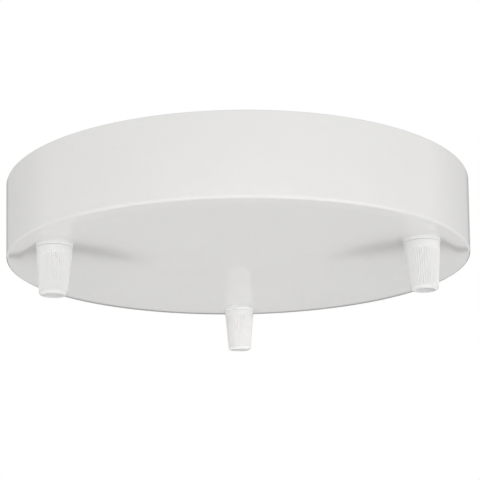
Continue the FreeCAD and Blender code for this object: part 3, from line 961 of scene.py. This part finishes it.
@dataclass
class Strap:
    """The plated steel strap with two ears turned down."""

    ear_x: float = 71.78
    thickness: float = 1.5
    width: float = 20.0
    drop: float = 14.0
    bend_radius: float = 1.5
    ear_rounding: float = 4.0
    supply_hole: float = 6.0
    slot_spacing: float = 60.0
    slot_length: float = 14.0
    slot_radius: float = 2.3
    block_x: float = 53.58
    block_hole_pitch: float = 9.0
    block_hole: float = 1.55
    ear_hole: float = 2.05
    ear_hole_drop: float = 8.0
    bend_segments: int = 10
    slot_segments: int = 12

    def build(self, palette: Palette) -> None:
        """Build the strap and stand it for its node.

        Args:
            palette: The materials.
        """
        inner_x, outer_bend = self.ear_x - self.thickness, self.bend_radius + self.thickness
        half, segments = self.width / 2, self.bend_segments
        blank = Blank.prism([
            Corner(-self.ear_x, -self.drop),
            Corner(-self.ear_x, 0.0, outer_bend, segments),
            Corner(self.ear_x, 0.0, outer_bend, segments),
            Corner(self.ear_x, -self.drop),
            Corner(inner_x, -self.drop),
            Corner(inner_x, -self.thickness, self.bend_radius, segments),
            Corner(-inner_x, -self.thickness, self.bend_radius, segments),
            Corner(-inner_x, -self.drop),
        ], Axis.Y, -half, half)
        ears = Blank.prism([
            Corner(-half, -self.drop, self.ear_rounding, segments),
            Corner(half, -self.drop, self.ear_rounding, segments),
            Corner(half, self.thickness),
            Corner(-half, self.thickness),
        ], Axis.X, -self.ear_x - PAST, self.ear_x + PAST)
        blank.combine(ears, Combine.KEEP)
        blank.combine(Blank.bar(self.supply_hole, Axis.Z, (0.0, 0.0, 0.0), 4 * self.thickness))
        for side in SIDES:
            blank.combine(self.slot(side * self.slot_spacing / 2))
            hole_x = self.block_x + side * self.block_hole_pitch / 2
            blank.combine(Blank.bar(self.block_hole, Axis.Z, (hole_x, 0.0, 0.0), 4 * self.thickness, 32))
        tap = Blank.bar(self.ear_hole, Axis.X, (0.0, 0.0, -self.ear_hole_drop), 3 * self.ear_x, 40)
        piece = blank.combine(tap).soften(0.14).finish("strap_dressed", palette.strap)
        carry(piece, "root", "plated_steel", "mounting_strap")

    def slot(self, x: float) -> Blank:
        """The tool of one long slot for a ceiling screw; its roundings stop just short of each other."""
        half_length, half_width = self.slot_length / 2, self.slot_radius
        round_end = 0.999 * half_width
        corners = [
            Corner(x + end * half_length, side * half_width, round_end, self.slot_segments)
            for end, side in ((-1, -1), (1, -1), (1, 1), (-1, 1))
        ]
        return Blank.prism(corners, Axis.Z, -3 * self.thickness, 3 * self.thickness)


@dataclass
class SideScrew:
    """A slotted countersunk screw through the canopy's wall into an ear."""

    node: str
    turn: float
    head_x: float = 75.48
    drop: float = 8.0
    head_radius: float = 4.0
    head_rim: float = 0.25
    shank_radius: float = 2.0
    length: float = 9.0
    pitch: float = 0.7
    thread_depth: float = 0.32
    thread_run_out: float = 0.4
    plain_neck: float = 1.0
    rows_per_pitch: int = 8
    slot_width: float = 1.0
    slot_depth: float = 0.9

    def build(self, palette: Palette) -> None:
        """Build the screw and stand it for its node.

        Args:
            palette: The materials.
        """
        end = self.head_x - self.length
        cone = self.head_x - self.head_rim
        neck = cone - self.head_radius + self.shank_radius
        rows = int((neck - end) / self.pitch * self.rows_per_pitch)
        blank = Blank.lathe([
            Corner(0.0, end),
            Corner(self.shank_radius, end, 0.3, 2, rows=rows),
            Corner(self.shank_radius, neck),
            Corner(self.head_radius, cone),
            Corner(self.head_radius, self.head_x, 0.12, 3),
            Corner(0.0, self.head_x),
        ], ROUND)
        high = neck - self.plain_neck
        blank.cut_threads([
            Thread(self.shank_radius, self.pitch, self.thread_depth, end, high, self.thread_run_out),
        ])
        middle = (0.0, 0.0, self.head_x)
        blank.combine(Blank.block(middle, (3 * self.head_radius, self.slot_width, 2 * self.slot_depth)))
        blank.lay(Axis.X).move(z=-self.drop).move(turn=self.turn)
        carry(blank.finish(f"{self.node}_dressed", palette.screw), "root", "screw_steel", self.node)


@dataclass
class TerminalBlock:
    """The three-pole terminal block with its barrels and screws, as softened copies of the solids."""

    barrels: int = 3

    def build(self, palette: Palette) -> None:
        """Build the block's pieces.

        Args:
            palette: The materials.
        """
        plan = [("terminal_block", 0.18, palette.block, "block_plastic")]
        plan += [(f"terminal_barrel_{n}", 0.06, palette.brass, "terminal_brass") for n in range(1, self.barrels + 1)]
        plan += [(name, 0.08, palette.screw, "screw_steel") for name in ("terminal_screws", "block_screws")]
        for node, width, material, slot in plan:
            blank = Blank.of_node(node).soften(width)
            carry(blank.finish(f"{node}_dressed", material), "root", slot, node)


# --- Studio --------------------------------------------------------------------------------


@dataclass
class SoftBox:
    """A soft rectangular lamp that doesn't show in the gloss of the part.

    Args:
        name: Its name.
        place: Where it hangs, in metres.
        target: What it points at.
        size: Its two sides.
        power: Its power in watts.
        spread: The angle over which it shines, in degrees.
    """

    name: str
    place: Triple
    target: Triple
    size: Span
    power: float
    spread: float = 180.0

    def hang(self) -> None:
        """Put the lamp into the scene."""
        lamp = bpy.data.lights.new(self.name, "AREA")
        lamp.shape = "RECTANGLE"
        lamp.size, lamp.size_y = self.size
        lamp.energy = self.power
        lamp.spread = math.radians(self.spread)
        hung = place_object(self.name, lamp)
        hung.location = self.place
        aim = Vector(self.target) - Vector(self.place)
        hung.rotation_euler = aim.to_track_quat("-Z", "Y").to_euler()
        hung.visible_glossy = False


@dataclass
class GlossCard:
    """A flat white card that glows and shows only in the gloss of the part.

    Args:
        name: Its name.
        middle: Its middle, in metres.
        sides: Its sides along X, Y and Z.
        strength: How bright it is, where 1 is as bright as the surround.
    """

    name: str
    middle: Triple
    sides: Triple
    strength: float = 1.0

    def paint(self, mix: Recipe) -> Any:
        """Its colour."""
        return WHITE

    def hang(self) -> None:
        """Put the card into the scene."""
        mix = Recipe(self.name)
        glow = {"Color": self.paint(mix), "Strength": self.strength}
        mix.node_output(mix.node("ShaderNodeEmission", None, glow))
        card = Blank.block(self.middle, self.sides).as_object(self.name)
        card.data.materials.append(mix.material)
        for kind in ("camera", "diffuse", "transmission", "volume_scatter", "shadow"):
            setattr(card, f"visible_{kind}", False)


@dataclass
class Backdrop(GlossCard):
    """A grey backdrop, with a dark patch at the height of the view and two soft dark bands lower down.

    Heights and distances to the side are in metres, and a pair of them is where something starts and ends.

    Args:
        pale: The grey of its middle.
        whiter_from: The distance to the side from which it gets whiter.
        dark: The grey of the patch.
        patch_foot: The heights over which it sets in.
        patch_side: The distances to the side over which it fades out.
        thinned: The share that is gone of its upper part, which the wall's two sides mirror.
        thinned_over: The heights over which that share goes.
        band: The grey of the bands.
        band_foot: The heights over which they set in.
        band_top: The heights over which they fade out.
        band_span: Where they start and end to the side, and how soft their ends are.
        bent_from: The distance to the side below which they bend upwards.
        bend: How steeply they do.
        flared: How far their outer ends reach past each of their edges.
        flared_over: The distances to the side over which they come to that.
    """

    pale: float = 0.64
    whiter_from: float = 0.6
    dark: float = 0.12
    patch_foot: Span = (-0.2, -0.12)
    patch_side: Span = (0.52, 0.62)
    thinned: float = 0.65
    thinned_over: Span = (0.18, 0.23)
    band: float = 0.0
    band_foot: Span = (-0.3195, -0.3115)
    band_top: Span = (-0.3075, -0.2995)
    band_span: Triple = (0.135, 0.43, 0.045)
    bent_from: float = 0.21
    bend: float = 0.17
    flared: float = 0.004
    flared_over: Span = (0.23, 0.29)

    def paint(self, mix: Recipe) -> Signal:
        """The grey, less the patch and the bands."""
        up = mix.along("Z")
        aside = mix.node("ShaderNodeMath", {"operation": "ABSOLUTE"}, {0: mix.along("X")})
        inwards = mix.node("ShaderNodeMath", {"operation": "MAXIMUM"}, {0: self.bent_from - aside, 1: 0.0})
        bent = up - self.bend * inwards
        wider = self.flared * aside.above(*self.flared_over)
        bands = (bent + wider).above(*self.band_foot) * (1.0 - (bent - wider).above(*self.band_top))
        bands = bands * aside.between(*self.band_span)
        patch = up.above(*self.patch_foot) * (1.0 - aside.above(*self.patch_side))
        patch = patch * (1.0 - self.thinned * up.above(*self.thinned_over))
        grey = self.pale + (1.0 - self.pale) * aside.above(self.whiter_from, self.sides[0] / 2)
        return grey - (self.pale - self.dark) * patch - (self.pale - self.band) * bands


@dataclass
class Studio:
    """The floor, the light and the camera."""

    floor_z: float = -1.0
    floor_size: float = 24.0
    ambient: float = 0.775
    camera_place: Triple = (0.0, -0.36095, -0.11698)
    camera_target: Triple = (0.00059, 0.0, -0.01533)
    camera_roll: float = -0.0144
    camera_clip: Span = (0.01, 60.0)
    lens_mm: float = 84.8

    def build(self) -> None:
        """Set the whole studio up."""
        self.lay_floor()
        self.set_world()
        self.hang_lamps()
        Backdrop("grey_backdrop", middle=(0.0, 1.0, 0.8), sides=(10.0, 0.002, 3.5)).hang()
        GlossCard("bright_table", middle=(0.0, -0.41, -0.5), sides=(3.2, 0.58, 0.002), strength=1.8).hang()
        self.place_camera()
        bpy.context.scene.view_settings.view_transform = "Standard"

    def lay_floor(self) -> None:
        """A large pale floor, well below the part."""
        blank = Blank()
        bmesh.ops.create_grid(blank.mesh, x_segments=1, y_segments=1, size=self.floor_size / 2)
        floor = blank.move(z=self.floor_z).as_object("studio_floor")
        floor.data.materials.append(StudioFloor("pale_floor", colour=(0.88, 0.88, 0.88)).material())

    def set_world(self) -> None:
        """A white surround that lights the part at a plain level."""
        world = bpy.data.worlds.new("white_surround")
        bpy.context.scene.world = world
        world.use_nodes = True
        tree = world.node_tree
        tree.nodes.clear()
        rays = tree.nodes.new("ShaderNodeLightPath")
        seen = rays.outputs["Is Camera Ray"]
        for name in ("Is Glossy Ray", "Is Transmission Ray"):
            either = tree.nodes.new("ShaderNodeMath")
            either.operation = "MAXIMUM"
            tree.links.new(seen, either.inputs[0])
            tree.links.new(rays.outputs[name], either.inputs[1])
            seen = either.outputs[0]
        level = tree.nodes.new("ShaderNodeMapRange")
        level.inputs["To Min"].default_value = self.ambient
        level.inputs["To Max"].default_value = 1.0
        tree.links.new(seen, level.inputs["Value"])
        glow = tree.nodes.new("ShaderNodeBackground")
        glow.inputs["Color"].default_value = WHITE
        tree.links.new(level.outputs[0], glow.inputs["Strength"])
        end = tree.nodes.new("ShaderNodeOutputWorld")
        tree.links.new(glow.outputs[0], end.inputs["Surface"])

    def hang_lamps(self) -> None:
        """A wide lamp low in front, a little to the right, and a small one for the far grip."""
        SoftBox(
            "front_softbox", place=(0.3, -1.1, -0.6), target=(0.0, 0.0, 0.0), size=(1.0, 0.7), power=3.9,
        ).hang()
        SoftBox(
            "grip_softbox", place=(0.0, -0.9, -0.35), target=(0.0, 0.064, -0.036), size=(0.08, 0.08),
            power=0.0042, spread=6.0,
        ).hang()

    def place_camera(self) -> None:
        """The photograph's view, from below and in front."""
        lens = bpy.data.cameras.new("camera")
        lens.lens = self.lens_mm
        lens.clip_start, lens.clip_end = self.camera_clip
        camera = place_object("camera", lens)
        forward = (Vector(self.camera_target) - Vector(self.camera_place)).normalized()
        right = forward.cross(Vector((0, 0, 1))).normalized()
        up = right.cross(forward)
        cos, sin = math.cos(self.camera_roll), math.sin(self.camera_roll)
        matrix = Matrix((cos * right + sin * up, cos * up - sin * right, -forward)).transposed().to_4x4()
        matrix.translation = self.camera_place
        camera.matrix_world = matrix
        bpy.context.scene.camera = camera


def main() -> None:
    """Build the part and the studio, and report each piece."""
    logging.basicConfig(level=logging.INFO, format="%(message)s")
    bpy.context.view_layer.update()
    palette = Palette.mixed()
    turns = {"back": 90.0, "left": 210.0, "right": 330.0}
    Canopy().build(palette, [outlet_centre(outlet) for outlet in turns])
    for outlet, turn in turns.items():
        CordGrip(outlet, turn).build(palette)
    Strap().build(palette)
    SideScrew("side_screw_right", 0.0).build(palette)
    SideScrew("side_screw_left", 180.0).build(palette)
    TerminalBlock().build(palette)
    Studio().build()


if __name__ == "__main__":
    main()
